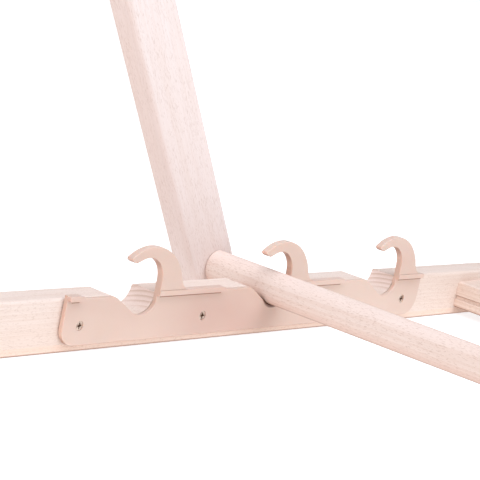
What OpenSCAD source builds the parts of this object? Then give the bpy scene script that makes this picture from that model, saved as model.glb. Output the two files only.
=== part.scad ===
// Recline rack of a folding beech deck chair: the base frame with its two
// notched rails and plastic hook racks, and the prop frame whose round bar
// rests in the middle notch.
//
// Millimetres. X runs along the rails to the back of the chair, Y across to
// the sitter's right, Z up. The base frame lies flat, its underside at Z = 0
// and its middle at X = 0, Y = 0.

/* [Base frame] */
// Length of each side rail
rail_length = 1200; // [1160:10:1300]
// Height of the side rails
rail_height = 45; // [43:1:48]
// Thickness of the side rails
rail_thickness = 26; // [22:1:30]
// Clear width between the two rails
inner_width = 410; // [360:10:460]
// Rounding along the rails' edges
rail_edge = 2.5; // [1:0.5:4]
// From the bar's seat to the rear ends of the rails
rear_reach = 420; // [400:5:450]
// From the bar's seat forward to the bores of the back frame's pivot
pivot_reach = 604; // [560:2:640]
// Diameter of the four pivot bores
pivot_bore = 8.4; // [6.4:0.2:10.4]

/* [Crossbars] */
// Width of the crossbars along the rails
crossbar_width = 45; // [40:1:50]
// Thickness of the crossbars
crossbar_thickness = 27; // [24:1:28]
// From the bar's seat to the front face of the rear crossbar
crossbar_reach = 313; // [300:1:320]
// From the front ends of the rails to the front crossbar
front_margin = 30; // [24:1:60]

/* [Hook racks] */
// Distance from one notch to the next
notch_pitch = 174.3; // [170:0.1:180]
// Thickness of the rack's plate
plate_thickness = 4.5; // [4:0.1:5]
// Thickness of the rack at its hooks
hook_thickness = 7; // [6.5:0.1:9]
// Thickness of the rack at its ledges
ledge_thickness = 7.6; // [7:0.1:10]
// Radius of the hooks' outer bow
bow_radius = 42.8; // [42.5:0.1:43.2]
// Spacing of the rack's screws
rack_screw_pitch = 150.5; // [148:0.5:152]

/* [Prop frame] */
// Diameter of the bar
bar_diameter = 29.4; // [27:0.1:29.4]
// From the rails' outer faces to the arms
arm_gap = 39.2; // [30:0.1:45]
// Width of the arms
arm_width = 52.5; // [40:0.5:60]
// Thickness of the arms
arm_thickness = 26; // [24:1:30]
// From the bar's axis to the bores at the arms' tops
arm_reach = 430; // [380:5:450]
// How far the arms lean forward from upright at rest
arm_lean = 33.6; // [20:0.1:45]

/* [Hidden] */
$fn = 96;
eps = 0.01;
beech = [0.93, 0.82, 0.70];
beech_bar = [0.88, 0.74, 0.60];
tan_plastic = [0.85, 0.66, 0.55];
zinc = [0.70, 0.71, 0.72];

// Rails: X of the bar's seat, and the rounding of the rails' ends
seat_x = rail_length / 2 - rear_reach;
rail_end = 16;

// How far arcs run past the lines and arcs they meet, so that they cross
// cleanly and don't just touch
hair = 0.02;

// Notches, measured from the bar's seat. A round pocket is met on its front
// side by a slope, which a rounded shoulder leads into.
pocket_radius = 18.2;
pocket = [-0.3, rail_height + 0.9];
slope = 31;
shoulder_radius = 12;
slope_foot = pocket - (pocket_radius - hair) * [sin(slope), cos(slope)];
shoulder_corner_x = slope_foot.x - (rail_height - slope_foot.y) / tan(slope);
shoulder = [shoulder_corner_x - shoulder_radius * tan(slope / 2), rail_height - shoulder_radius + hair];
slope_head = shoulder + (shoulder_radius - hair) * [sin(slope), cos(slope)];

// Bar, which stands clear of the pocket's floor by a hair
bar_radius = bar_diameter / 2;
seat_gap = 0.3;
bar_z = pocket.y - pocket_radius + seat_gap + bar_radius;

// Hooks, in the rack's plane and measured from the bar's seat
bow = [0.5, rail_height - 2.4];
throat_radius = 20.2;
throat = [-4.6, rail_height + 11.1];
throat_wall = throat.x + throat_radius;
lip_angle = 20;
nose_radius = 3;
nose_angle = 123.5;
nose = bow + (bow_radius - nose_radius + hair) * [cos(nose_angle), sin(nose_angle)];
tip_radius = 1.5;
tip_angle = 126.8;
tip = bow + (bow_radius - tip_radius + hair) * [cos(tip_angle), sin(tip_angle)];
root_radius = 14;

// The bar's way out between a hook's nose and its slope: its angle above the
// horizontal, and the direction square to it, up and to the rear
way_out = 30;
off_way = [sin(way_out), cos(way_out)];

// Ledges that stiffen the rack between the hooks
ledge_bottom = rail_height - 1.3;
ledge_top = rail_height + 3;
ledge_end = 100.5;
ledge_half = (ledge_top - ledge_bottom) / 2;
root = [bow.x + sqrt(pow(bow_radius + root_radius, 2) - pow(ledge_top + root_radius - bow.y, 2)),
        ledge_top + root_radius];
root_touch = bow + (root - bow) * bow_radius / (bow_radius + root_radius);

// Plate, measured from the middle notch
plate_front = -notch_pitch - 89.7;
plate_rear = notch_pitch + 59.2;
plate_bottom = 6.8;
plate_front_corner = 15;
plate_rear_corner = 18;

// Rack screws: four countersunk 4 x 22
rack_screw_first = -244.8;
rack_screw_z = 23;
rack_screw_length = 22;
rack_screw_head = 8;
rack_screw_shank = 4;

// Frame screws: countersunk 5 x 70, through the rails into the crossbars
frame_screw_length = 70;
frame_screw_head = 10;
frame_screw_shank = 5;

// Crossbars and their tenons
crossbar_z = 21.3;
crossbar_edge = 4;
crossbar_groove = 2;
tenon_depth = 13;
tenon_size = [30, 14];
rear_crossbar_x = seat_x + crossbar_reach;
front_crossbar_x = -rail_length / 2 + front_margin;

// Prop frame: the bar's ends turn in the arms
arm_edge = 5;
arm_inner_y = inner_width / 2 + rail_thickness + arm_gap;
arm_outer_y = arm_inner_y + arm_thickness;
end_play = 0.3;
spigot_radius = 10;
spigot_clearance = 0.05;
washer_radius = 15;
washer_thickness = 2;
bar_screw_shank = 5;
bar_screw_head = 11;
bar_screw_head_height = 4;
bar_screw_length = 45;

// ---- helpers ----

// A rectangle about the origin with its corners rounded
module rounded_rect(width, height, radius) {
    square([width - 2 * radius, height], center = true);
    square([width, height - 2 * radius], center = true);
    for (x = [-1, 1], y = [-1, 1])
        translate([x * (width / 2 - radius), y * (height / 2 - radius)])
            circle(radius);
}

// Stands a flat shape up in the XZ plane, with its thickness towards -Y
module toward_middle(thickness) {
    rotate([90, 0, 0])
        linear_extrude(thickness)
            children();
}

// Runs a YZ section along X from 0 to length
module along_x(length) {
    rotate([90, 0, 90])
        linear_extrude(length)
            children();
}

// Moves to the foot of the right-hand rail's inner face, below the bar's seat
module at_right_rail() {
    translate([seat_x, inner_width / 2, 0])
        children();
}

// A countersunk screw along +Y with its head's face at Y = 0
module countersunk_screw(head, shank, length) {
    cone = (head - shank) / 2;
    rotate([-90, 0, 0])
        difference() {
            union() {
                cylinder(h = cone, d1 = head, d2 = shank);
                translate([0, 0, cone])
                    cylinder(h = length - cone - shank, d = shank);
                translate([0, 0, length - shank])
                    cylinder(h = shank, d1 = shank, d2 = 1);
            }
            for (turn = [0, 90])
                rotate(turn)
                    translate([-head * 0.27, -head * 0.055, -eps])
                        cube([head * 0.54, head * 0.11, head * 0.2]);
        }
}

// The hole that such a screw fills, with its head sunk below the face
module countersunk_hole(head, shank, length, sink) {
    cone = (head - shank) / 2;
    rotate([-90, 0, 0]) {
        translate([0, 0, -1])
            cylinder(h = sink + 1, d = head);
        translate([0, 0, sink])
            cylinder(h = cone, d1 = head, d2 = shank);
        translate([0, 0, sink + cone])
            cylinder(h = length - cone - shank, d = shank);
        translate([0, 0, sink + length - shank])
            cylinder(h = shank, d1 = shank, d2 = 1);
    }
}

// ---- notch ----

// What one notch takes out of the wood, seen from the middle of the frame
module notch_shape() {
    translate(pocket)
        circle(pocket_radius);
    difference() {
        polygon([
            [shoulder.x, rail_height],
            [shoulder.x, rail_height + 5],
            [pocket.x, rail_height + 5],
            pocket,
            slope_foot,
            slope_head
        ]);
        translate(shoulder)
            circle(shoulder_radius);
    }
}

// ---- rails ----

// Rack screws, from the middle notch
module at_rack_screws() {
    for (i = [0:3])
        translate([rack_screw_first + i * rack_screw_pitch, 0, rack_screw_z])
            children();
}

// Screws through the rail into both crossbars, from outside
module at_frame_screws() {
    for (x = [rear_crossbar_x, front_crossbar_x])
        translate([x + crossbar_width / 2, inner_width / 2 + rail_thickness, crossbar_z])
            rotate([0, 0, 180])
                children();
}

module rail() {
    difference() {
        intersection() {
            translate([-rail_length / 2, inner_width / 2 + rail_thickness / 2, rail_height / 2])
                along_x(rail_length)
                    rounded_rect(rail_thickness, rail_height, rail_edge);
            translate([0, inner_width / 2 + rail_thickness + 1, rail_height / 2])
                toward_middle(rail_thickness + 2)
                    rounded_rect(rail_length, rail_height, rail_end);
        }
        for (i = [-1:1])
            at_right_rail()
                translate([i * notch_pitch, rail_thickness + 1, 0])
                    toward_middle(rail_thickness + 2)
                        notch_shape();
        for (x = [rear_crossbar_x, front_crossbar_x])
            translate([x + crossbar_width / 2, inner_width / 2 + tenon_depth / 2, crossbar_z])
                cube([tenon_size.x, tenon_depth, tenon_size.y], center = true);
        translate([seat_x - pivot_reach, inner_width / 2 - 1, rail_height / 2])
            rotate([-90, 0, 0])
                cylinder(h = rail_thickness + 2, d = pivot_bore);
        at_frame_screws()
            countersunk_hole(frame_screw_head, frame_screw_shank, frame_screw_length, 1);
        at_right_rail()
            translate([0, -plate_thickness, 0])
                at_rack_screws()
                    countersunk_hole(rack_screw_head, rack_screw_shank, rack_screw_length, 0.5);
    }
}

module right_rail() {
    color(beech)
        rail();
}

module left_rail() {
    color(beech)
        mirror([0, 1, 0])
            rail();
}

// ---- crossbars ----

// A crossbar with a tenon at each end and a groove along its front face
module crossbar(x) {
    difference() {
        union() {
            translate([x + crossbar_width / 2, inner_width / 2, crossbar_z])
                toward_middle(inner_width)
                    rounded_rect(crossbar_width, crossbar_thickness, crossbar_edge);
            translate([x + crossbar_width / 2, 0, crossbar_z])
                cube([tenon_size.x, inner_width + 2 * tenon_depth, tenon_size.y], center = true);
        }
        translate([x, inner_width / 2 + 1, crossbar_z - 2.5])
            toward_middle(inner_width + 2)
                circle(crossbar_groove, $fn = 48);
        for (side = [0, 1])
            mirror([0, side, 0])
                at_frame_screws()
                    countersunk_hole(frame_screw_head, frame_screw_shank, frame_screw_length, 1);
    }
}

module rear_crossbar() {
    color(beech)
        crossbar(rear_crossbar_x);
}

module front_crossbar() {
    color(beech)
        crossbar(front_crossbar_x);
}

// ---- hook racks ----

// What rounding a corner by a radius takes away; x and y are -1 or 1 and point
// from the corner to the material
module corner_cut(corner, x, y, radius) {
    translate(corner)
        scale([x, y])
            difference() {
                translate([-1, -1])
                    square(radius + 1);
                translate([radius, radius])
                    circle(radius + hair);
            }
}

module plate_shape() {
    difference() {
        translate([plate_front, plate_bottom])
            square([plate_rear - plate_front, rail_height - plate_bottom]);
        corner_cut([plate_front, plate_bottom], 1, 1, plate_front_corner);
        corner_cut([plate_rear, plate_bottom], -1, 1, plate_rear_corner);
        for (i = [-1:1])
            translate([i * notch_pitch, 0])
                intersection() {
                    notch_shape();
                    translate([-60, 0])
                        square([60 + throat_wall, 100]);
                }
    }
}

// The ledge from front to rear; its rear end is half round, and its front end
// if asked
module ledge_shape(front, rear, round_front = false) {
    start = round_front ? front + ledge_half : front;
    translate([start, ledge_bottom])
        square([rear - ledge_half - start, 2 * ledge_half]);
    for (x = round_front ? [start, rear - ledge_half] : [rear - ledge_half])
        translate([x, ledge_bottom + ledge_half])
            circle(ledge_half);
}

// The blunt end of a hook: two rounds, joined by a flat along the bar's way out
module nose_shape() {
    intersection() {
        translate(bow)
            circle(bow_radius);
        polygon([
            nose,
            bow + 70 * [cos(nose_angle), sin(nose_angle)],
            bow + 70 * [cos(tip_angle), sin(tip_angle)],
            tip
        ]);
    }
    polygon([
        nose,
        tip,
        tip - (tip_radius - hair) * off_way,
        nose - (nose_radius - hair) * off_way
    ]);
    translate(nose)
        circle(nose_radius);
    translate(tip)
        circle(tip_radius);
}

// One hook: a bow about the seat, ending in a blunt nose over the mouth
module hook_shape() {
    difference() {
        union() {
            intersection() {
                translate(bow)
                    circle(bow_radius);
                polygon([
                    bow,
                    bow + 70 * [cos(nose_angle), sin(nose_angle)],
                    [60, 120],
                    [60, ledge_bottom],
                    [bow.x, ledge_bottom]
                ]);
            }
            difference() {
                polygon([[throat_wall, ledge_bottom], [root.x, ledge_bottom], root, root_touch]);
                translate(root)
                    circle(root_radius + hair);
            }
        }
        translate(throat)
            circle(throat_radius);
        translate([-60, 0])
            square([60 + throat_wall, throat.y]);
        translate(throat)
            rotate(lip_angle)
                translate([-60, -30])
                    square([60, 30 + throat_radius - hair]);
    }
    nose_shape();
}

module rack() {
    difference() {
        at_right_rail() {
            toward_middle(plate_thickness) {
                plate_shape();
                translate([plate_front, ledge_bottom])
                    square(2 * ledge_half);
            }
            toward_middle(hook_thickness)
                for (i = [-1:1])
                    translate([i * notch_pitch, 0])
                        hook_shape();
            toward_middle(ledge_thickness) {
                ledge_shape(plate_front, -2 * notch_pitch + ledge_end, round_front = true);
                for (i = [-1:0])
                    translate([i * notch_pitch, 0])
                        ledge_shape(throat_wall, ledge_end);
                ledge_shape(notch_pitch + throat_wall, plate_rear);
            }
        }
        at_right_rail()
            translate([0, -plate_thickness, 0])
                at_rack_screws()
                    countersunk_hole(rack_screw_head, rack_screw_shank, rack_screw_length, 0.5);
    }
}

module right_rack() {
    color(tan_plastic)
        rack();
}

module left_rack() {
    color(tan_plastic)
        mirror([0, 1, 0])
            rack();
}

// ---- fasteners of the base frame ----

module rack_screws() {
    at_right_rail()
        translate([0, 0.5 - plate_thickness, 0])
            at_rack_screws()
                countersunk_screw(rack_screw_head, rack_screw_shank, rack_screw_length);
}

module frame_screws() {
    at_frame_screws()
        translate([0, 1, 0])
            countersunk_screw(frame_screw_head, frame_screw_shank, frame_screw_length);
}

module right_rack_screws() {
    color(zinc)
        rack_screws();
}

module left_rack_screws() {
    color(zinc)
        mirror([0, 1, 0])
            rack_screws();
}

module right_frame_screws() {
    color(zinc)
        frame_screws();
}

module left_frame_screws() {
    color(zinc)
        mirror([0, 1, 0])
            frame_screws();
}

// ---- prop frame ----

// Moves to the bar's axis at the outer face of the right-hand arm
module at_bar_end() {
    translate([seat_x, arm_outer_y + end_play, bar_z])
        rotate([-90, 0, 0])
            children();
}

module prop_bar() {
    shoulder_y = arm_inner_y - end_play;
    color(beech_bar)
        difference() {
            translate([seat_x, 0, bar_z])
                rotate([90, 0, 0]) {
                    cylinder(h = 2 * shoulder_y, r = bar_radius, center = true);
                    cylinder(h = 2 * (arm_outer_y + end_play), r = spigot_radius, center = true);
                }
            for (side = [0, 1])
                mirror([0, side, 0])
                    at_bar_end()
                        translate([0, 0, washer_thickness - bar_screw_length])
                            cylinder(h = bar_screw_length, d = bar_screw_shank);
        }
}

module bar_washer() {
    at_bar_end()
        difference() {
            cylinder(h = washer_thickness, r = washer_radius);
            translate([0, 0, -1])
                cylinder(h = washer_thickness + 2, d = bar_screw_shank);
        }
}

module bar_screw() {
    at_bar_end()
        difference() {
            union() {
                translate([0, 0, washer_thickness])
                    cylinder(h = bar_screw_head_height - 1, d = bar_screw_head);
                translate([0, 0, washer_thickness + bar_screw_head_height - 1])
                    cylinder(h = 1, d1 = bar_screw_head, d2 = bar_screw_head - 2);
                translate([0, 0, washer_thickness - bar_screw_length])
                    cylinder(h = bar_screw_length, d = bar_screw_shank);
            }
            for (turn = [0, 90])
                rotate(turn)
                    translate([-3, -0.6, washer_thickness + 1.5])
                        cube([6, 1.2, 5]);
        }
}

module right_bar_washer() {
    color(zinc)
        bar_washer();
}

module left_bar_washer() {
    color(zinc)
        mirror([0, 1, 0])
            bar_washer();
}

module right_bar_screw() {
    color(zinc)
        bar_screw();
}

module left_bar_screw() {
    color(zinc)
        mirror([0, 1, 0])
            bar_screw();
}

// One arm: a bar with rounded edges and round ends, bored at both ends
module arm() {
    half_section_x = arm_width / 2;
    translate([seat_x, arm_inner_y + arm_thickness / 2, bar_z])
        rotate([0, -arm_lean, 0])
            difference() {
                union() {
                    linear_extrude(arm_reach)
                        rounded_rect(arm_width, arm_thickness, arm_edge);
                    for (z = [0, arm_reach])
                        translate([0, 0, z])
                            rotate([90, 0, 0])
                                rotate_extrude()
                                    intersection() {
                                        rounded_rect(arm_width, arm_thickness, arm_edge);
                                        translate([0, -arm_thickness])
                                            square([half_section_x, 2 * arm_thickness]);
                                    }
                }
                rotate([90, 0, 0])
                    cylinder(h = arm_thickness + 2, r = spigot_radius + spigot_clearance, center = true);
                translate([0, 0, arm_reach])
                    rotate([90, 0, 0])
                        cylinder(h = arm_thickness + 2, d = pivot_bore, center = true);
            }
}

module right_arm() {
    color(beech)
        arm();
}

module left_arm() {
    color(beech)
        mirror([0, 1, 0])
            arm();
}

// ---- what is drawn ----

right_rail();
left_rail();
rear_crossbar();
front_crossbar();
right_rack();
left_rack();
right_rack_screws();
left_rack_screws();
right_frame_screws();
left_frame_screws();
prop_bar();
right_bar_washer();
left_bar_washer();
right_bar_screw();
left_bar_screw();
right_arm();
left_arm();
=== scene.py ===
"""Looks of a folding deck chair's recline rack: oiled beech, moulded plastic and zinc screws."""

import math

import bmesh
import bpy
from mathutils import Euler, Matrix, Vector, geometry


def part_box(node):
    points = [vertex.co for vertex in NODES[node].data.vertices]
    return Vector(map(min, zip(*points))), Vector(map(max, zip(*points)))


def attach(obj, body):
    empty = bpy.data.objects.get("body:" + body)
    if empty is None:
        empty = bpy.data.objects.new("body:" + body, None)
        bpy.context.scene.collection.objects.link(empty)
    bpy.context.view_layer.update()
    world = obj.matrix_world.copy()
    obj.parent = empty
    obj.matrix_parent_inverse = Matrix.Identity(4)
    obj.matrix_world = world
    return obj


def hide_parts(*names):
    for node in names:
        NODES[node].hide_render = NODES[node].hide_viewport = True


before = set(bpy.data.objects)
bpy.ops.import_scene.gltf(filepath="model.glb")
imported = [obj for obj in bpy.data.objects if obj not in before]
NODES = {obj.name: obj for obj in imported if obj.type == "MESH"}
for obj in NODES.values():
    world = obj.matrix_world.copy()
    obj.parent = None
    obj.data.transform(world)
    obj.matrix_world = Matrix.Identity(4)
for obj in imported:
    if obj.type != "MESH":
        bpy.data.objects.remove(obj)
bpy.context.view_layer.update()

# ---- places, from the frame ----

BAR_LOW, BAR_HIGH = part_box("prop_bar")
BAR_AXIS = (BAR_LOW + BAR_HIGH) / 2
RAIL_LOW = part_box("right_rail")[0]
QUARTER = math.pi / 2
ARM_LEAN = math.radians(33.6)

# ---- sizes of the part, in millimetres ----

INNER_Y = 205.0
OUTER_Y = 231.0
SEAT_X = 180.0
PITCH = 174.3
RAIL_LENGTH = 1200.0
RAIL_HEIGHT = 45.0
RAIL_EDGE = 2.5
RAIL_END = 16.0
PIVOT = (-424.0, 22.5)
PIVOT_RADIUS = 4.2

POCKET = Vector((-0.3, RAIL_HEIGHT + 0.9))
POCKET_RADIUS = 18.2
SLOPE = math.radians(31)
SHOULDER_RADIUS = 12.0

CROSSBAR_X = (493.0, -570.0)
CROSSBAR_Z = 21.3
CROSSBAR_SIZE = (45.0, 27.0)
CROSSBAR_EDGE = 4.0
TENON = (30.0, 14.0, 13.0)

PLATE = (-264.0, 6.8, 233.5)
PLATE_CORNERS = (15.0, 18.0)
PLATE_DEPTH = 4.5
HOOK_DEPTH = 7.0
LEDGE_DEPTH = 7.6
LEDGE = (RAIL_HEIGHT - 1.3, RAIL_HEIGHT + 3.0)
LEDGE_END = 100.5
BOW = Vector((0.5, RAIL_HEIGHT - 2.4))
BOW_RADIUS = 42.8
THROAT = Vector((-4.6, RAIL_HEIGHT + 11.1))
THROAT_RADIUS = 20.2
THROAT_WALL = THROAT.x + THROAT_RADIUS
LIP = math.radians(20)
NOSE_RADIUS = 3.0
NOSE_ANGLE = math.radians(123.5)
TIP_RADIUS = 1.5
TIP_ANGLE = math.radians(126.8)
WAY_OUT = math.radians(30)
ROOT_RADIUS = 14.0

RACK_SCREWS = [SEAT_X - 244.8 + 150.5 * i for i in range(4)]
RACK_SCREW_Z = 23.0

BAR_Z = 42.7
BAR_RADIUS = 14.7
BAR_SHOULDER = 269.9
BAR_END = 296.5
SPIGOT_RADIUS = 10.0
SCREW_RADIUS = 2.5
SCREW_DEPTH = 43.0
ARM_FACES = (270.2, 296.2)
ARM_WIDTH = 52.5
ARM_REACH = 430.0
ARM_EDGE = 5.0

# ---- camera ----

CAMERA_HEADING = math.radians(53.123)
CAMERA_DOWN = math.radians(10.765)
CAMERA_ROLL = math.radians(11.857)
CAMERA_DISTANCE = 1.63342
CAMERA_LENS = 144.815
# What the camera looks at, from the bar's seat at the right rail's inner face
AIM_FORWARD = 0.05888
AIM_UP = 0.04392


def camera():
    """Looks along the inner side of the right-hand rack, rolled a little clockwise."""
    aim = Vector((BAR_AXIS.x - AIM_FORWARD, RAIL_LOW.y, BAR_AXIS.z + AIM_UP))
    ahead = Vector((
        math.sin(CAMERA_HEADING) * math.cos(CAMERA_DOWN),
        math.cos(CAMERA_HEADING) * math.cos(CAMERA_DOWN),
        -math.sin(CAMERA_DOWN),
    ))
    level = Vector((math.cos(CAMERA_HEADING), -math.sin(CAMERA_HEADING), 0))
    upright = level.cross(ahead)
    right = math.cos(CAMERA_ROLL) * level + math.sin(CAMERA_ROLL) * upright
    up = right.cross(ahead)
    data = bpy.data.cameras.new("camera")
    data.lens = CAMERA_LENS
    data.sensor_width = 36
    data.clip_start = 0.01
    data.clip_end = 50
    made = bpy.data.objects.new("camera", data)
    turn = Matrix((right, up, -ahead)).transposed().to_4x4()
    made.matrix_world = Matrix.Translation(aim - CAMERA_DISTANCE * ahead) @ turn
    bpy.context.scene.collection.objects.link(made)
    bpy.context.scene.camera = made


# ---- floor and light ----

FLOOR_SIZE = 24.0


def floor():
    """A white floor that glows a little, so that it is as white as the background of a catalogue."""
    bpy.ops.mesh.primitive_plane_add(size=FLOOR_SIZE)
    plane = bpy.context.object
    plane.name = "floor"
    material = bpy.data.materials.new("floor")
    material.use_nodes = True
    shader = material.node_tree.nodes["Principled BSDF"]
    shader.inputs["Base Color"].default_value = (0.50, 0.50, 0.50, 1)
    shader.inputs["Roughness"].default_value = 0.9
    shader.inputs["Specular IOR Level"].default_value = 0.1
    shader.inputs["Emission Color"].default_value = (0.97, 0.985, 1.0, 1)
    shader.inputs["Emission Strength"].default_value = 0.79
    plane.data.materials.append(material)


def softbox(name, spot, size, power, colour):
    """A square area light that looks at the rack."""
    data = bpy.data.lights.new(name, "AREA")
    data.shape = "SQUARE"
    data.size = size
    data.energy = power
    data.color = colour
    light = bpy.data.objects.new(name, data)
    light.location = spot
    aim = Vector((BAR_AXIS.x, 0, 0.1)) - Vector(spot)
    light.rotation_euler = aim.to_track_quat("-Z", "Y").to_euler()
    bpy.context.scene.collection.objects.link(light)


def lighting():
    world = bpy.data.worlds.new("studio")
    world.use_nodes = True
    sky = world.node_tree.nodes["Background"]
    sky.inputs["Color"].default_value = (1.0, 0.97, 0.96, 1)
    sky.inputs["Strength"].default_value = 0.44
    bpy.context.scene.world = world
    softbox("overhead", (0.3, -0.6, 3.0), 2.4, 58, (0.86, 0.95, 1.10))
    softbox("key", (0.5, -3.2, 1.6), 1.8, 35, (0.84, 0.96, 1.05))
    softbox("fill", (-2.0, -0.5, 2.2), 1.8, 34, (0.93, 0.97, 1.02))
    bpy.context.scene.view_settings.view_transform = "Standard"


# ---- outlines, in millimetres ----

ARC_STEPS = 144
SMALLEST_EDGE = 0.06


def disc(centre, radius):
    turns = [2 * math.pi * i / ARC_STEPS for i in range(ARC_STEPS)]
    return [(centre[0] + radius * math.cos(t), centre[1] + radius * math.sin(t)) for t in turns]


def rect(left, bottom, right, top):
    return [(left, bottom), (right, bottom), (right, top), (left, top)]


def rounded_rect(centre, width, height, radius):
    """The outline of a rectangle with rounded corners."""
    points = []
    steps = ARC_STEPS // 4
    for corner, (x, y) in enumerate(((1, 1), (-1, 1), (-1, -1), (1, -1))):
        middle = (centre[0] + x * (width / 2 - radius), centre[1] + y * (height / 2 - radius))
        for i in range(steps + 1):
            turn = QUARTER * (corner + i / steps)
            away = Vector((math.cos(turn), math.sin(turn)))
            points.append(Vector(middle) + radius * away)
    return points


def moved(points, x):
    return [Vector((point[0] + x, point[1])) for point in points]


def area(points):
    return sum(a[0] * b[1] - b[0] * a[1] for a, b in zip(points, points[1:] + points[:1])) / 2


def well_spaced(points):
    """Leaves out points that lie almost on the one before."""
    kept = []
    for point in points:
        if not kept or (point - kept[-1]).length > SMALLEST_EDGE:
            kept.append(point)
    if (kept[0] - kept[-1]).length <= SMALLEST_EDGE:
        kept.pop()
    return kept


def outlines(shapes, inside):
    """Outlines the area where inside(names of the shapes there) holds, with that area on the left."""
    points = []
    faces = []
    for shape in shapes.values():
        faces.append(list(range(len(points), len(points) + len(shape))))
        points += [Vector(point) for point in shape]
    names = list(shapes)
    found, _, cells, _, _, origins = geometry.delaunay_2d_cdt(points, [], faces, 1, 1e-6)
    edges = set()
    for cell, origin in zip(cells, origins):
        if inside({names[i] for i in origin}):
            turned = cell if area([found[i] for i in cell]) > 0 else cell[::-1]
            edges.update(zip(turned, turned[1:] + turned[:1]))
    border = {a: b for a, b in edges if (b, a) not in edges}
    loops = []
    while border:
        start, step = border.popitem()
        loop = [start]
        while step != start:
            loop.append(step)
            step = border.pop(step)
        loops.append(well_spaced([found[i] for i in loop]))
    return loops


def inset_directions(loop):
    """Where each point goes as the outline shrinks by a millimetre."""
    result = []
    for i, point in enumerate(loop):
        before = (point - loop[i - 1]).normalized()
        after = (loop[(i + 1) % len(loop)] - point).normalized()
        first = Vector((-before.y, before.x))
        second = Vector((-after.y, after.x))
        result.append((first + second) / max(1.0 + first.dot(second), 0.35))
    return result


# ---- solids ----

ROUND_STEPS = 5
QUARTER_STEPS = [QUARTER * i / ROUND_STEPS for i in range(ROUND_STEPS + 1)]
SHARP_ANGLE = math.radians(32)


def rounded(start, end, start_round, end_round):
    """(inset, y) pairs for a board from y = start to end whose edges are rounded."""
    way = 1 if end > start else -1
    near = [
        (start_round * (1 - math.sin(a)), start + way * start_round * (1 - math.cos(a)))
        for a in QUARTER_STEPS]
    far = [
        (end_round * (1 - math.cos(a)), end - way * end_round * (1 - math.sin(a)))
        for a in QUARTER_STEPS]
    return near + far


def on_gap(start, end, end_round):
    """(inset, y) pairs for a moulding from y = start to end: a narrow gap at its foot, a rounded face."""
    way = 1 if end > start else -1
    gap = [(1.3, start), (1.3, start + way * 0.55), (0.15, start + way * 0.65), (0.0, start + way * 0.9)]
    return gap + rounded(start, end, 0.0, end_round)[len(QUARTER_STEPS):]


def flared(start, end, rounding):
    """(inset, y) pairs for a cutter that leaves rounded edges on a board from y = start to end."""
    inner = rounded(start, end, rounding, rounding)
    way = 1 if end > start else -1
    return [(-rounding, start - way)] + [(-inset, y) for inset, y in inner] + [(-rounding, end + way)]


def solid(name, rings):
    """A closed mesh object from rings of points in millimetres, each ring joined to the next."""
    shape = bmesh.new()
    made = [[shape.verts.new(Vector(point) / 1000) for point in ring] for ring in rings]
    for low, high in zip(made, made[1:]):
        for i in range(len(low)):
            j = (i + 1) % len(low)
            shape.faces.new((low[i], low[j], high[j], high[i]))
    shape.faces.new(made[0][::-1])
    shape.faces.new(made[-1])
    bmesh.ops.remove_doubles(shape, verts=shape.verts, dist=1e-7)
    bmesh.ops.triangulate(shape, faces=[face for face in shape.faces if len(face.verts) > 4])
    bmesh.ops.recalc_face_normals(shape, faces=shape.faces)
    mesh = bpy.data.meshes.new(name)
    shape.to_mesh(mesh)
    shape.free()
    thing = bpy.data.objects.new(name, mesh)
    bpy.context.scene.collection.objects.link(thing)
    return thing


def prism(name, loop, profile):
    """A solid with its outline in the XZ plane; profile lists (inset, y) across its thickness."""
    loop = well_spaced([Vector(point) for point in loop])
    if area(loop) < 0:
        loop.reverse()
    away = inset_directions(loop)
    return solid(name, [
        [(point.x + inset * way.x, y, point.y + inset * way.y) for point, way in zip(loop, away)]
        for inset, y in profile])


TURNED_STEPS = 96


def turned(name, centre, profile):
    """A turned solid about a line along Y through centre = (x, z); profile lists (radius, y)."""
    turns = [2 * math.pi * i / TURNED_STEPS for i in range(TURNED_STEPS)]
    return solid(name, [
        [(centre[0] + radius * math.cos(t), y, centre[1] + radius * math.sin(t)) for t in turns]
        for radius, y in profile])


def apply_modifier(thing, kind, settings):
    modifier = thing.modifiers.new(kind, kind)
    for name, value in settings.items():
        setattr(modifier, name, value)
    with bpy.context.temp_override(object=thing, active_object=thing):
        bpy.ops.object.modifier_apply(modifier=modifier.name)


def boolean(thing, tools, operation):
    for tool in tools:
        apply_modifier(thing, "BOOLEAN", {"operation": operation, "solver": "EXACT", "object": tool})
        bpy.data.objects.remove(tool)
    return thing


def cut(thing, *tools):
    return boolean(thing, tools, "DIFFERENCE")


def joined(thing, *tools):
    return boolean(thing, tools, "UNION")


def mirrored(thing, name):
    """A copy for the other side of the chair."""
    mesh = thing.data.copy()
    mesh.transform(Matrix.Scale(-1, 4, (0, 1, 0)))
    mesh.flip_normals()
    made = bpy.data.objects.new(name, mesh)
    bpy.context.scene.collection.objects.link(made)
    return made


def stands_for(thing, node, body, material):
    """Smooths and paints a solid, and puts it in the place of a node of the part."""
    thing.name = f"{node}_visual"
    thing.data.shade_smooth()
    thing.data.set_sharp_from_angle(angle=SHARP_ANGLE)
    apply_modifier(thing, "WEIGHTED_NORMAL", {"keep_sharp": True, "weight": 100})
    thing.data.materials.clear()
    thing.data.materials.append(material)
    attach(thing, body)
    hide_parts(node)


# ---- rails and crossbars ----


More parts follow.
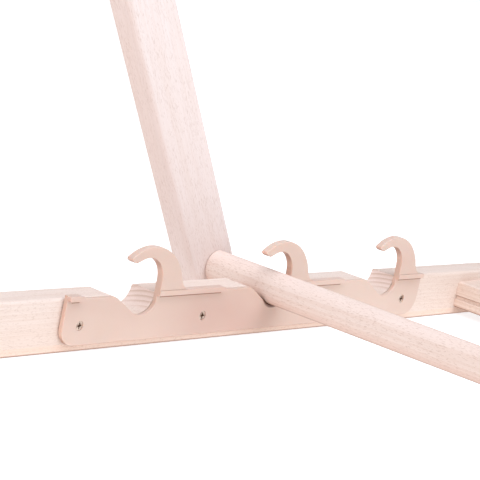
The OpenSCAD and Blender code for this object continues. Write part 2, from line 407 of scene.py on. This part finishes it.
def notch_outline(top):
    """What one notch takes out of the wood, open at the top."""
    foot = POCKET - POCKET_RADIUS * Vector((math.sin(SLOPE), math.cos(SLOPE)))
    corner_x = foot.x - (RAIL_HEIGHT - foot.y) / math.tan(SLOPE)
    shoulder = Vector((corner_x - SHOULDER_RADIUS * math.tan(SLOPE / 2), RAIL_HEIGHT - SHOULDER_RADIUS))
    points = [Vector((shoulder.x, top))]
    for i in range(17):
        turn = SLOPE * i / 16
        points.append(shoulder + SHOULDER_RADIUS * Vector((math.sin(turn), math.cos(turn))))
    start = -QUARTER - SLOPE
    end = math.asin((RAIL_HEIGHT - 0.02 - POCKET.y) / POCKET_RADIUS)
    for i in range(49):
        turn = start + (end - start) * i / 48
        points.append(POCKET + POCKET_RADIUS * Vector((math.cos(turn), math.sin(turn))))
    points.append(Vector((points[-1].x, top)))
    return points


def notches(top, profile):
    return [
        prism("notch", moved(notch_outline(top), SEAT_X + i * PITCH), profile)
        for i in (-1, 0, 1)]


def countersink(centre, face, way, radius):
    """A cutter for a screw's head that is sunk by up to a millimetre below a face at y = face."""
    return turned("countersink", centre, [
        (radius + 0.05, face - way), (radius + 0.05, face + way),
        (radius * 0.5, face + way * (1 + radius * 0.5)), (radius * 0.5, face + way * 12)])


def rail():
    middle = (0.0, RAIL_HEIGHT / 2)
    made = prism("rail", rounded_rect(middle, RAIL_LENGTH, RAIL_HEIGHT, RAIL_END),
                 rounded(INNER_Y, OUTER_Y, RAIL_EDGE, RAIL_EDGE))
    cut(made, *notches(RAIL_HEIGHT + 5, flared(INNER_Y, OUTER_Y, 0.35)))
    cut(made, prism("pivot", disc(PIVOT, PIVOT_RADIUS), flared(INNER_Y, OUTER_Y, 0.5)))
    for x in CROSSBAR_X:
        cut(made, countersink((x + CROSSBAR_SIZE[0] / 2, CROSSBAR_Z), OUTER_Y, -1, 5.0))
    return made


def crossbar(front):
    """A crossbar with a groove along its front face and a tenon at each end."""
    middle = (front + CROSSBAR_SIZE[0] / 2, CROSSBAR_Z)
    section, = outlines({
        "body": rounded_rect(middle, *CROSSBAR_SIZE, CROSSBAR_EDGE),
        "groove": disc((front, CROSSBAR_Z - 2.5), 2.0),
    }, lambda at: "body" in at and "groove" not in at)
    made = prism("crossbar", section, rounded(-INNER_Y, INNER_Y, 0.4, 0.4))
    width, height, depth = TENON
    reach = INNER_Y + depth
    tenon = prism("tenon", rounded_rect(middle, width, height, 1.0), rounded(-reach, reach, 0.3, 0.3))
    return joined(made, tenon)


# ---- racks ----


def plate_outline():
    """The rack's plate, whose top edge follows the notches up to each throat."""
    front, bottom, rear = PLATE
    front_corner, rear_corner = PLATE_CORNERS
    shapes = {
        "plate": rect(front, bottom, rear, RAIL_HEIGHT),
        "front": rect(front - 1, bottom - 1, front + front_corner, bottom + front_corner),
        "front_disc": disc((front + front_corner, bottom + front_corner), front_corner),
        "rear": rect(rear - rear_corner, bottom - 1, rear + 1, bottom + rear_corner),
        "rear_disc": disc((rear - rear_corner, bottom + rear_corner), rear_corner),
    }
    for i in (-1, 0, 1):
        shapes[f"notch{i}"] = moved(notch_outline(RAIL_HEIGHT + 5), i * PITCH)
        shapes[f"window{i}"] = moved(rect(-60, 0, THROAT_WALL, 100), i * PITCH)

    def inside(at):
        notched = any(f"notch{i}" in at and f"window{i}" in at for i in (-1, 0, 1))
        cornered = "front" in at and "front_disc" not in at or "rear" in at and "rear_disc" not in at
        return "plate" in at and not notched and not cornered

    return outlines(shapes, inside)[0]


def hook_outline():
    """One hook: a bow about the seat, ending in a blunt nose over the mouth."""
    bottom, top = LEDGE
    root_y = top + ROOT_RADIUS
    root = Vector((BOW.x + math.sqrt((BOW_RADIUS + ROOT_RADIUS) ** 2 - (root_y - BOW.y) ** 2), root_y))
    touch = BOW + (root - BOW) * BOW_RADIUS / (BOW_RADIUS + ROOT_RADIUS)
    nose_way = Vector((math.cos(NOSE_ANGLE), math.sin(NOSE_ANGLE)))
    tip_way = Vector((math.cos(TIP_ANGLE), math.sin(TIP_ANGLE)))
    nose = BOW + (BOW_RADIUS - NOSE_RADIUS) * nose_way
    tip = BOW + (BOW_RADIUS - TIP_RADIUS) * tip_way
    off_way = Vector((math.sin(WAY_OUT), math.cos(WAY_OUT)))
    along = Vector((math.cos(LIP), math.sin(LIP)))
    across = Vector((-math.sin(LIP), math.cos(LIP)))
    lip_top = THROAT + THROAT_RADIUS * across
    shapes = {
        "bow": disc(BOW, BOW_RADIUS),
        "sector": [BOW, (BOW.x, bottom), (60, bottom), (60, 120), BOW + 70 * nose_way],
        "root": [(THROAT_WALL - 3, bottom), (root.x, bottom), root, touch],
        "root_disc": disc(root, ROOT_RADIUS),
        "throat": disc(THROAT, THROAT_RADIUS),
        "below": rect(-60, 0, THROAT_WALL, THROAT.y),
        "lip": [lip_top, lip_top - 60 * along, lip_top - 60 * along - 60 * across, THROAT - 30 * across],
        "nose": disc(nose, NOSE_RADIUS),
        "tip": disc(tip, TIP_RADIUS),
        "nose_sector": [nose, BOW + 70 * nose_way, BOW + 70 * tip_way, tip],
        "nose_flat": [nose, tip, tip - TIP_RADIUS * off_way, nose - NOSE_RADIUS * off_way],
    }

    def inside(at):
        blunt_end = at & {"nose", "tip", "nose_flat"} or {"bow", "nose_sector"} <= at
        arch = {"bow", "sector"} <= at or ("root" in at and "root_disc" not in at)
        return bool(blunt_end) or (arch and not at & {"throat", "below", "lip"})

    return max(outlines(shapes, inside), key=area)


def ledge_outline(front, rear, round_front=False):
    """A ledge, with a half-round rear end and, if asked, a half-round front end."""
    bottom, top = LEDGE
    half = (top - bottom) / 2
    middle = bottom + half
    turns = [QUARTER * i / 12 for i in range(-12, 13)]
    end = [(rear - half + half * math.cos(t), middle + half * math.sin(t)) for t in turns]
    if round_front:
        return end + [(front + half - half * math.cos(t), middle - half * math.sin(t)) for t in turns]
    return [(front, bottom), *end, (front, top)]


def rack():
    """The rack in one piece: its plate, and the hooks and ledges that stand out further."""
    front, _, rear = PLATE
    made = prism("rack", moved(plate_outline(), SEAT_X), on_gap(INNER_Y, INNER_Y - PLATE_DEPTH, 0.8))
    raised = [(hook_outline(), HOOK_DEPTH, i * PITCH, 0.8) for i in (-1, 0, 1)]
    ledges = [(i * PITCH + THROAT_WALL, i * PITCH + LEDGE_END, False) for i in (-1, 0)]
    ledges += [(front, LEDGE_END - 2 * PITCH, True), (PITCH + THROAT_WALL, rear, False)]
    raised += [(ledge_outline(*ledge), LEDGE_DEPTH, 0.0, 0.3) for ledge in ledges]
    bottom, top = LEDGE
    raised.append((rect(front, bottom, front + top - bottom, top), PLATE_DEPTH, 0.0, 0.8))
    for loop, depth, x, edge in raised:
        joined(made, prism("raised", moved(loop, SEAT_X + x), on_gap(INNER_Y, INNER_Y - depth, edge)))
    for x in RACK_SCREWS:
        cut(made, turned("screw_hole", (x, RACK_SCREW_Z), [
            (4.05, INNER_Y - PLATE_DEPTH - 1), (4.05, INNER_Y - PLATE_DEPTH + 0.5),
            (2.05, INNER_Y - PLATE_DEPTH + 2.5), (2.05, INNER_Y + 1)]))
    return made


# ---- screws ----


def merged(things):
    """One object from several that don't touch."""
    first, *others = things
    shape = bmesh.new()
    for thing in things:
        shape.from_mesh(thing.data)
    shape.to_mesh(first.data)
    shape.free()
    for other in others:
        bpy.data.objects.remove(other)
    return first


def screw(centre, face, way, head, length):
    """A countersunk screw with a tapered cross recess; its head lies at y = face and it points way."""
    shank = head / 4
    made = turned("screw", centre, [
        (0.001, face), (head / 2 - 0.2, face), (head / 2, face + way * 0.2), (shank, face + way * head / 4),
        (shank, face + way * (length - 2)), (0.5, face + way * length)])
    reach, half = head * 0.33, head * 0.075
    x, z = centre
    recess, = outlines({
        "across": rect(x - reach, z - half, x + reach, z + half),
        "upright": rect(x - half, z - reach, x + half, z + reach),
        "middle": disc(centre, head * 0.17),
    }, lambda at: bool(at))
    return cut(made, prism("recess", recess, [
        (-0.2, face - way), (0.0, face), (half * 0.5, face + way * head * 0.22)]))


def rack_screws():
    face = INNER_Y - PLATE_DEPTH + 0.5
    return merged([screw((x, RACK_SCREW_Z), face, 1, 8.0, 22.0) for x in RACK_SCREWS])


def frame_screws():
    return merged([
        screw((x + CROSSBAR_SIZE[0] / 2, CROSSBAR_Z), OUTER_Y - 1, -1, 10.0, 70.0) for x in CROSSBAR_X])


# ---- prop frame ----


def bar():
    """The round bar, turned down at its ends for the arms and bored for their screws."""
    bore_end = BAR_END - SCREW_DEPTH
    half = [
        (0.001, bore_end), (SCREW_RADIUS, bore_end), (SCREW_RADIUS, BAR_END),
        (SPIGOT_RADIUS - 0.5, BAR_END), (SPIGOT_RADIUS, BAR_END - 0.5), (SPIGOT_RADIUS, BAR_SHOULDER),
        (BAR_RADIUS - 1, BAR_SHOULDER), (BAR_RADIUS - 0.3, BAR_SHOULDER - 0.3),
        (BAR_RADIUS, BAR_SHOULDER - 1)]
    return turned("bar", (SEAT_X, BAR_Z), half + [(radius, -y) for radius, y in reversed(half)])


def arm():
    """An arm with round ends and rounded edges, bored at both ends, at its lean."""
    half = ARM_WIDTH / 2
    loop = rounded_rect((0, ARM_REACH / 2), ARM_WIDTH, ARM_REACH + ARM_WIDTH, half)
    made = prism("arm", loop, rounded(*ARM_FACES, ARM_EDGE, ARM_EDGE))
    cut(made, prism("bore", disc((0, 0), SPIGOT_RADIUS + 0.05), flared(*ARM_FACES, 0.5)))
    cut(made, prism("bore", disc((0, ARM_REACH), PIVOT_RADIUS), flared(*ARM_FACES, 0.5)))
    lean = Matrix.Rotation(-ARM_LEAN, 4, "Y")
    made.data.transform(Matrix.Translation(Vector((SEAT_X, 0, BAR_Z)) / 1000) @ lean)
    return made


# ---- materials ----


def new_material(name):
    material = bpy.data.materials.new(name)
    material.use_nodes = True
    tree = material.node_tree
    return material, tree, tree.nodes["Principled BSDF"]


def add(tree, kind, settings=None, inputs=None):
    """A node with its settings and unlinked inputs set; a socket given as an input is linked."""
    node = tree.nodes.new(kind)
    for name, value in (settings or {}).items():
        setattr(node, name, value)
    for name, value in (inputs or {}).items():
        if isinstance(value, bpy.types.NodeSocket):
            tree.links.new(value, node.inputs[name])
        else:
            node.inputs[name].default_value = value
    return node


def component(tree, vector, axis):
    """One component of a vector: axis 0, 1 or 2."""
    return add(tree, "ShaderNodeSeparateXYZ", {}, {0: vector}).outputs[axis]


def scaled(tree, vector, factors):
    return add(tree, "ShaderNodeVectorMath", {"operation": "MULTIPLY"}, {0: vector, 1: factors}).outputs[0]


def distance(tree, place, centre, factors):
    """How far a place is from a centre, with each axis scaled by its factor."""
    away = add(tree, "ShaderNodeVectorMath", {"operation": "SUBTRACT"}, {0: place, 1: centre}).outputs[0]
    flat = scaled(tree, away, factors)
    return add(tree, "ShaderNodeVectorMath", {"operation": "LENGTH"}, {0: flat}).outputs["Value"]


def maths(tree, operation, first, second=0.0):
    return add(tree, "ShaderNodeMath", {"operation": operation}, {0: first, 1: second}).outputs[0]


def ramp(tree, value, low, high, start=0.0, end=1.0):
    """Start below low, end above high, smooth between."""
    node = add(tree, "ShaderNodeMapRange", {"interpolation_type": "SMOOTHSTEP"}, {
        "Value": value, "From Min": low, "From Max": high, "To Min": start, "To Max": end})
    return node.outputs["Result"]


def between(tree, value, low, high):
    """1 where a value in metres lies between low and high, given in millimetres; 0 elsewhere."""
    above = ramp(tree, value, low / 1000, (low + 0.04) / 1000)
    below = ramp(tree, value, (high - 0.04) / 1000, high / 1000, 1.0, 0.0)
    return maths(tree, "MULTIPLY", above, below)


def all_of(tree, first, *others):
    """The product of several factors."""
    for other in others:
        first = maths(tree, "MULTIPLY", first, other)
    return first


def mix(tree, factor, first, second, blend="MIX"):
    """Mixes two colours, or a colour with a socket."""
    node = add(tree, "ShaderNodeMix", {"data_type": "RGBA", "blend_type": blend})
    for socket, value in ((node.inputs[0], factor), (node.inputs[6], first), (node.inputs[7], second)):
        if isinstance(value, bpy.types.NodeSocket):
            tree.links.new(value, socket)
        else:
            socket.default_value = value if isinstance(value, (int, float)) else (*value, 1)
    return node.outputs[2]


def tinted(tree, colour, factor, tint):
    """A colour multiplied by a tint where factor is 1."""
    return mix(tree, factor, colour, mix(tree, 1.0, colour, tint, "MULTIPLY"))


def noise(tree, vector, stretch, detail=2.0, roughness=0.5, distortion=0.0):
    """Noise with its own number of cells a metre along each axis."""
    made = add(tree, "ShaderNodeTexNoise", {}, {
        "Vector": scaled(tree, vector, stretch), "Scale": 1.0, "Detail": detail, "Roughness": roughness,
        "Distortion": distortion})
    return made.outputs[0]


WOOD_LIGHT = (0.830, 0.700, 0.635)
WOOD_WARM = (0.800, 0.650, 0.570)
WOOD_RING = (0.640, 0.440, 0.330)
WOOD_FLECK = (0.450, 0.270, 0.185)
WOOD_END = (0.935, 0.750, 0.700)
# Painted shade: how much darker the wood is made on faces that turn down, and where they face straight down
WOOD_DOWNWARD_SHADE = (0.86, 0.75, 0.70)
WOOD_UNDERSIDE_SHADE = (0.50, 0.40, 0.35)
# Painted warm light along the base frame's lower edge, where the rack's shadow falls: how much warmer, and
# how high it reaches
WOOD_LOW_WARM_LIGHT = (1.07, 1.00, 0.95)
LOW_EDGE = (0.0066, 0.0076)
# Painted shade: how much darker wood and plastic are in the crevice around the bar's seat, and painted
# shadow lines on the plastic
SEAT_SHADE = (0.26, 0.17, 0.13)
SHADOW_LINES = (0.50, 0.34, 0.27)


def in_seat(tree, place):
    """1 on the rails and racks close to where the bar rests, where painted shade goes; 0 elsewhere."""
    reach = distance(tree, place, tuple(BAR_AXIS), (1.0, 0.0, 1.0))
    side = maths(tree, "ABSOLUTE", component(tree, place, 1))
    return all_of(
        tree, ramp(tree, reach, 0.0148, 0.0150), ramp(tree, reach, 0.0165, 0.0185, 1.0, 0.0),
        ramp(tree, side, 0.240, 0.245, 1.0, 0.0))


def beech(name, node, turn, seed, look):
    """Beech for a node of the part. Its grain runs along X once the object's axes have been turned.

    look has flecks and rings, how strongly each shows; fleck, the flecks' cells a metre along the grain;
    heart, how far from the board's middle the tree's middle lay, in metres; tint, which multiplies the
    colour; and shade_below, between which upward parts of the normal the painted shade below is darkest.
    """
    material, tree, shader = new_material(name)
    low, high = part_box(node)
    middle = Euler(turn).to_matrix() @ ((low + high) / 2)
    coordinates = add(tree, "ShaderNodeTexCoord")
    place = coordinates.outputs["Object"]
    normal = coordinates.outputs["Normal"]
    grain = add(tree, "ShaderNodeMapping", {}, {
        "Vector": place, "Rotation": turn,
        "Location": (seed - middle.x, -middle.y, -middle.z)}).outputs[0]
    facing = add(tree, "ShaderNodeMapping", {"vector_type": "VECTOR"}, {
        "Vector": normal, "Rotation": turn}).outputs[0]
    end_grain = ramp(tree, maths(tree, "ABSOLUTE", component(tree, facing, 0)), 0.25, 0.95)
    upward = component(tree, normal, 2)

    wander = add(tree, "ShaderNodeTexNoise", {}, {
        "Vector": scaled(tree, grain, (2.2, 9.0, 9.0)), "Scale": 1.0, "Detail": 2.0})
    bent = add(tree, "ShaderNodeVectorMath", {"operation": "MULTIPLY_ADD"}, {
        0: wander.outputs["Color"], 1: (0.0, 0.010, 0.010), 2: grain}).outputs[0]
    centred = add(tree, "ShaderNodeVectorMath", {"operation": "ADD"}, {
        0: bent, 1: (0.0, *look["heart"])}).outputs[0]
    growth = add(tree, "ShaderNodeTexWave", {
        "wave_type": "RINGS", "rings_direction": "X", "wave_profile": "SAW"}, {
        "Vector": centred, "Scale": 80.0, "Distortion": 1.0, "Detail": 2.0, "Detail Scale": 0.6})
    ring = ramp(tree, growth.outputs[1], 0.35, 1.0)

    broad = noise(tree, grain, (2.5, 22.0, 22.0), 3.0)
    fibre = noise(tree, grain, (28.0, 1500.0, 1500.0), 3.0, 0.6)
    fine_fleck = noise(tree, grain, (look["fleck"], 1500.0, 1500.0), 1.0)
    patch = noise(tree, grain, (14.0, 70.0, 70.0), 2.0)
    threshold = ramp(tree, patch, 0.3, 0.7, 0.63, 0.56)
    fleck = ramp(tree, maths(tree, "SUBTRACT", fine_fleck, threshold), 0.0, 0.06)

    colour = mix(tree, ramp(tree, broad, 0.3, 0.7), WOOD_LIGHT, WOOD_WARM)
    colour = mix(tree, maths(tree, "MULTIPLY", end_grain, 0.7), colour, WOOD_END)
    rings = look["rings"]
    ring_strength = ramp(tree, end_grain, 0.0, 1.0, rings, min(1.0, 0.3 + rings * 3))
    colour = mix(tree, maths(tree, "MULTIPLY", ring, ring_strength), colour, WOOD_RING)
    colour = mix(tree, ramp(tree, fibre, 0.35, 0.75, 0.0, 0.22), colour, WOOD_RING)
    fleck_strength = ramp(tree, end_grain, 0.0, 1.0, look["flecks"], 0.0)
    colour = mix(tree, maths(tree, "MULTIPLY", fleck, fleck_strength), colour, WOOD_FLECK)
    colour = mix(tree, 1.0, colour, look["tint"], "MULTIPLY")
    # Painted shade on faces that turn down, and more where they face straight down.
    colour = tinted(tree, colour, ramp(tree, upward, -1.0, 0.0, 1.0, 0.0), WOOD_DOWNWARD_SHADE)
    colour = tinted(tree, colour, ramp(tree, upward, *look["shade_below"], 1.0, 0.0), WOOD_UNDERSIDE_SHADE)
    # Painted shade in the crevice around the bar's seat.
    colour = tinted(tree, colour, in_seat(tree, place), SEAT_SHADE)
    # Painted warm light along the lower edge, lifting the shade below the rack.
    colour = tinted(tree, colour, ramp(tree, component(tree, place, 2), *LOW_EDGE, 1.0, 0.0), WOOD_LOW_WARM_LIGHT)
    tree.links.new(colour, shader.inputs["Base Color"])

    tree.links.new(ramp(tree, fibre, 0.2, 0.8, 0.50, 0.66), shader.inputs["Roughness"])
    shader.inputs["Specular IOR Level"].default_value = 0.4
    height = maths(tree, "SUBTRACT", fibre, maths(tree, "MULTIPLY", fleck, 0.6))
    bump = add(tree, "ShaderNodeBump", {}, {"Height": height, "Strength": 0.3, "Distance": 0.0001})
    tree.links.new(bump.outputs[0], shader.inputs["Normal"])
    return material


PLASTIC = (0.700, 0.515, 0.425)
PLASTIC_DEEP = (0.585, 0.375, 0.305)
# Painted shade: how much darker it is made where it faces down
PLASTIC_UNDERSIDE_SHADE = (0.62, 0.50, 0.45)
# Painted warm shade: a little redder on the edges that face the front
PLASTIC_FORWARD_SHADE = (1.04, 0.96, 0.93)
# A spot on the plate where the plastic is deepest in tone, fading out around it
DEEP_SPOT = (0.115, 0.0, 0.015)


def along_ledges(tree, place):
    """Where painted shadow lines go: 1 on the plate just below the ledges, less on the hooks just above
    them, 0 elsewhere.
    """
    side = maths(tree, "ABSOLUTE", component(tree, place, 1))
    height = component(tree, place, 2)
    from_seat = maths(tree, "SUBTRACT", component(tree, place, 0), SEAT_X / 1000)
    from_notch = maths(tree, "FLOORED_MODULO", from_seat, PITCH / 1000)
    bottom, top = LEDGE
    plate_face = INNER_Y - PLATE_DEPTH
    hook_face = INNER_Y - HOOK_DEPTH
    below = all_of(
        tree, between(tree, height, bottom - 1.9, bottom + 0.1),
        between(tree, from_seat, PLATE[0] + 5.0, PLATE[2]),
        between(tree, from_notch, THROAT_WALL + 3.5, LEDGE_END - 2.0),
        between(tree, side, plate_face - 0.1, plate_face + 0.3))
    above = all_of(
        tree, between(tree, height, top - 0.1, top + 0.5),
        between(tree, from_notch, THROAT_WALL + 1.0, 60.0),
        between(tree, side, hook_face - 0.1, hook_face + 0.3))
    return maths(tree, "ADD", maths(tree, "MULTIPLY", below, 0.8), maths(tree, "MULTIPLY", above, 0.5))


def at_foot(tree, place, normal):
    """Where painted shade goes: 1 on the narrow gap where the rack lies on the rail, 0 elsewhere."""
    side = maths(tree, "ABSOLUTE", component(tree, place, 1))
    across = maths(tree, "ABSOLUTE", component(tree, normal, 1))
    return all_of(
        tree, ramp(tree, side, (INNER_Y - 0.9) / 1000, (INNER_Y - 0.6) / 1000),
        ramp(tree, across, 0.4, 0.7, 1.0, 0.0),
        ramp(tree, component(tree, place, 2), 0.044, 0.045, 1.0, 0.0))


def plastic():
    """Tan moulded plastic: even and matt, with the mould's faint grain, slow changes of tone, and painted
    shade and shadow lines.
    """
    material, tree, shader = new_material("tan_plastic")
    coordinates = add(tree, "ShaderNodeTexCoord")
    place = coordinates.outputs["Object"]
    normal = coordinates.outputs["Normal"]
    flow = noise(tree, place, (9.0, 9.0, 22.0), 2.0, 0.5, 0.6)
    grain = noise(tree, place, (1600.0, 1600.0, 1600.0), 2.0)
    near_deep_spot = ramp(tree, distance(tree, place, DEEP_SPOT, (1.0, 0.0, 1.7)), 0.01, 0.11, 0.75, 0.0)
    deep = maths(tree, "ADD", near_deep_spot, ramp(tree, flow, 0.3, 0.75, 0.0, 0.25))
    down_shade = ramp(tree, component(tree, normal, 2), -0.85, -0.35, 1.0, 0.0)
    forward_shade = ramp(tree, component(tree, normal, 0), -0.9, -0.4, 1.0, 0.0)
    colour = mix(tree, deep, PLASTIC, PLASTIC_DEEP)
    # Painted shade where the plastic faces down.
    colour = tinted(tree, colour, down_shade, PLASTIC_UNDERSIDE_SHADE)
    # Painted warm shade on faces toward the front.
    colour = tinted(tree, colour, forward_shade, PLASTIC_FORWARD_SHADE)
    # Painted shadow lines just below the ledges and fainter ones just above them.
    colour = tinted(tree, colour, along_ledges(tree, place), SHADOW_LINES)
    # Painted shade in the narrow gap at the rack's foot.
    colour = tinted(tree, colour, at_foot(tree, place, normal), SHADOW_LINES)
    # Painted shade in the crevice around the bar's seat.
    colour = tinted(tree, colour, in_seat(tree, place), SEAT_SHADE)
    tree.links.new(colour, shader.inputs["Base Color"])
    tree.links.new(ramp(tree, grain, 0.2, 0.8, 0.42, 0.56), shader.inputs["Roughness"])
    shader.inputs["Specular IOR Level"].default_value = 0.5
    shader.inputs["Subsurface Weight"].default_value = 0.25
    shader.inputs["Subsurface Radius"].default_value = (1.0, 0.45, 0.30)
    shader.inputs["Subsurface Scale"].default_value = 0.004
    bump = add(tree, "ShaderNodeBump", {}, {"Height": grain, "Strength": 0.25, "Distance": 0.00008})
    tree.links.new(bump.outputs[0], shader.inputs["Normal"])
    return material


def zinc():
    """Zinc-plated steel: dulled in patches, with fine scratches."""
    material, tree, shader = new_material("zinc")
    place = add(tree, "ShaderNodeTexCoord").outputs["Object"]
    patches = noise(tree, place, (420.0, 420.0, 420.0), 3.0, 0.6)
    scratches = noise(tree, place, (300.0, 4000.0, 4000.0), 1.0)
    colour = mix(tree, ramp(tree, patches, 0.35, 0.7), (0.62, 0.49, 0.40), (0.30, 0.20, 0.16))
    tree.links.new(colour, shader.inputs["Base Color"])
    shader.inputs["Metallic"].default_value = 1.0
    tree.links.new(ramp(tree, patches, 0.3, 0.7, 0.24, 0.45), shader.inputs["Roughness"])
    bump = add(tree, "ShaderNodeBump", {}, {"Height": scratches, "Strength": 0.3, "Distance": 0.00003})
    tree.links.new(bump.outputs[0], shader.inputs["Normal"])
    return material


ALONG_X = (0.0, 0.0, 0.0)
ALONG_Y = (0.0, 0.0, -QUARTER)
ALONG_ARM = (0.0, QUARTER + ARM_LEAN, 0.0)

RAIL_LOOK = {
    "flecks": 0.24, "rings": 0.13, "fleck": 380.0, "heart": (0.012, 0.055), "tint": (1.0, 0.99, 0.98),
    "shade_below": (-0.60, -0.15)}
CROSSBAR_LOOK = {
    "flecks": 0.28, "rings": 0.35, "fleck": 380.0, "heart": (0.0, 0.05), "tint": (0.97, 0.93, 0.90),
    "shade_below": (-0.80, -0.45)}
BAR_LOOK = {
    "flecks": 0.36, "rings": 0.20, "fleck": 300.0, "heart": (0.03, 0.05), "tint": (1.02, 0.99, 0.985),
    "shade_below": (-1.0, -0.75)}
ARM_LOOK = {
    "flecks": 0.25, "rings": 0.06, "fleck": 260.0, "heart": (0.10, 0.02), "tint": (1.04, 1.08, 1.15),
    "shade_below": (-1.0, -0.75)}


def paint(node, material):
    mesh = NODES[node].data
    mesh.materials.clear()
    mesh.materials.append(material)


def build_wood():
    """The wooden pieces, each with its own stretch of grain."""
    rails = {"right": rail()}
    rails["left"] = mirrored(rails["right"], "rail")
    arms = {"right": arm()}
    arms["left"] = mirrored(arms["right"], "arm")
    for seed, side in ((0.0, "right"), (1.7, "left")):
        wood = beech(f"beech_{side}_rail", f"{side}_rail", ALONG_X, seed, RAIL_LOOK)
        stands_for(rails[side], f"{side}_rail", "base_frame", wood)
        wood = beech(f"beech_{side}_arm", f"{side}_arm", ALONG_ARM, seed + 9.1, ARM_LOOK)
        stands_for(arms[side], f"{side}_arm", "prop_arms", wood)
    for seed, end, front in ((3.1, "rear", CROSSBAR_X[0]), (5.3, "front", CROSSBAR_X[1])):
        node = f"{end}_crossbar"
        wood = beech(f"beech_{node}", node, ALONG_Y, seed, CROSSBAR_LOOK)
        stands_for(crossbar(front), node, "base_frame", wood)
    wood = beech("beech_bar", "prop_bar", ALONG_Y, 7.7, BAR_LOOK)
    stands_for(bar(), "prop_bar", "prop_bar", wood)


def build_fittings():
    """The racks and all screws and washers."""
    moulding = plastic()
    steel = zinc()
    racks = {"right": rack()}
    racks["left"] = mirrored(racks["right"], "rack")
    screws = {("rack_screws", "right"): rack_screws(), ("frame_screws", "right"): frame_screws()}
    for group in ("rack_screws", "frame_screws"):
        screws[group, "left"] = mirrored(screws[group, "right"], group)
    for side in ("right", "left"):
        stands_for(racks[side], f"{side}_rack", "base_frame", moulding)
        for group in ("rack_screws", "frame_screws"):
            stands_for(screws[group, side], f"{side}_{group}", "base_frame", steel)
        for group in ("bar_washer", "bar_screw"):
            paint(f"{side}_{group}", steel)


camera()
floor()
lighting()
build_wood()
build_fittings()
